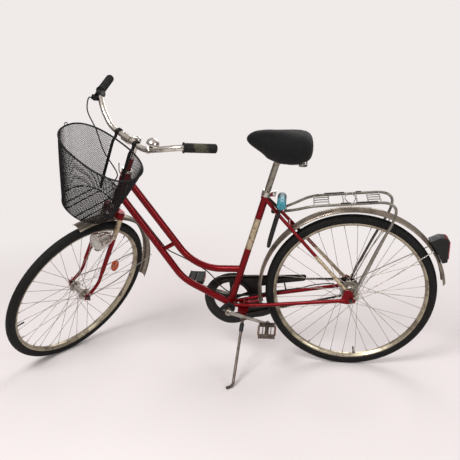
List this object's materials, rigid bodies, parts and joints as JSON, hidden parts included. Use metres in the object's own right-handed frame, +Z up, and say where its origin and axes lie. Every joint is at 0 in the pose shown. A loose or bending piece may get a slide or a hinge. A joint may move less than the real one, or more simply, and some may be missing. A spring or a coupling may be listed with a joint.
{
  "type": "city bicycle with front basket and rear rack",
  "caption": "Step-through town bicycle parked on its side stand, bars turned left, with a mesh front basket, mudguards, rear rack and chain guard.",
  "frame": {"origin": "middle of the bounding box, on the floor that both tyres and the side stand touch", "axes": "+Z up, front wheel towards -X, the bicycle's left side towards -Y"},
  "size_m": [1.7457, 0.6668, 1.2163],
  "materials": {
    "alloy": "satin alloy",
    "black_metal": "black enamel",
    "black_plastic": "satin black",
    "chain_steel": "oiled chain steel",
    "chrome": "worn chrome",
    "fabric": "black quilted cover",
    "frame_red": "deep metallic red gloss",
    "lens": "ribbed lens",
    "red_lens": "clear red lens",
    "rubber": "worn black rubber",
    "steel": "dull steel",
    "taupe": "grey-brown enamel",
    "turquoise": "turquoise plastic",
    "tyre": "matt black rubber"
  },
  "bodies": {
    "frame": {"head_tube": "frame_red", "bottom_bracket": "frame_red", "seat_tube": "frame_red", "top_tube": "frame_red", "down_tube": "frame_red", "frame_brace": "frame_red", "chain_stays": "frame_red", "seat_stays": "frame_red", "seat_post": "steel", "headset_cups": "chrome", "saddle": "fabric", "saddle_springs": "steel", "rear_mudguard": "taupe", "rear_mudguard_stays": "steel", "rear_rack": "taupe", "rear_lamp_housing": "black_plastic", "rear_lamp_lens": "red_lens", "chain": "chain_steel", "rear_sprocket": "chain_steel", "chain_guard": "black_metal", "brake_arm": "steel", "rear_axle": "steel", "lock_bar": "turquoise", "lock_shackle": "black_plastic", "lock_bracket": "black_plastic", "stand_bracket": "frame_red"},
    "crank": {"chainring": "chain_steel", "crankset": "alloy"},
    "left_pedal": {"left_pedal_body": "steel"},
    "right_pedal": {"right_pedal_body": "steel"},
    "steering": {"fork": "frame_red", "front_axle": "steel", "front_mudguard": "taupe", "front_mudguard_stays": "steel", "handlebar": "chrome", "stem": "chrome", "left_grip": "rubber", "right_grip": "rubber", "gear_control": "black_plastic", "bell": "chrome", "headlamp_body": "chrome", "headlamp_lens": "lens", "basket": "black_metal", "basket_straps": "black_metal"},
    "front_wheel": {"front_tyre": "tyre", "front_rim": "taupe", "front_spokes": "steel"},
    "rear_wheel": {"rear_tyre": "tyre", "rear_rim": "taupe", "rear_spokes": "steel"},
    "side_stand": {"side_stand": "steel"}
  },
  "joints": [
    {"name": "steering_turn", "type": "hinge", "parent": "frame", "child": "steering", "pos_m": [-0.43356, -0.04721, 0.77351], "axis": [0.384, -0.1444, 0.912], "range_deg": [-140, 24]},
    {"name": "front_wheel_turn", "type": "hinge", "parent": "steering", "child": "front_wheel", "pos_m": [-0.64899, -0.01676, 0.32077], "axis": [-0.7839, 0.4709, 0.4047], "continuous": true},
    {"name": "rear_wheel_turn", "type": "hinge", "parent": "frame", "child": "rear_wheel", "pos_m": [0.49707, 0.02067, 0.34494], "axis": [0, 0.9877, 0.1564], "continuous": true},
    {"name": "crank_turn", "type": "hinge", "parent": "frame", "child": "crank", "pos_m": [-0.00133, 0.03267, 0.2692], "axis": [0, -0.9877, -0.1564], "range_deg": [0, 285]},
    {"name": "left_pedal_turn", "type": "hinge", "parent": "crank", "child": "left_pedal", "pos_m": [0.16163, -0.08223, 0.20199], "axis": [0, 0.9877, 0.1564], "continuous": true},
    {"name": "right_pedal_turn", "type": "hinge", "parent": "crank", "child": "right_pedal", "pos_m": [-0.1643, 0.14757, 0.3364], "axis": [0, 0.9877, 0.1564], "continuous": true},
    {"name": "side_stand_swing", "type": "hinge", "parent": "frame", "child": "side_stand", "pos_m": [0.05698, -0.01064, 0.22302], "axis": [-0.4611, 0.8799, -0.1145], "range_deg": [-107, 0]}
  ]
}
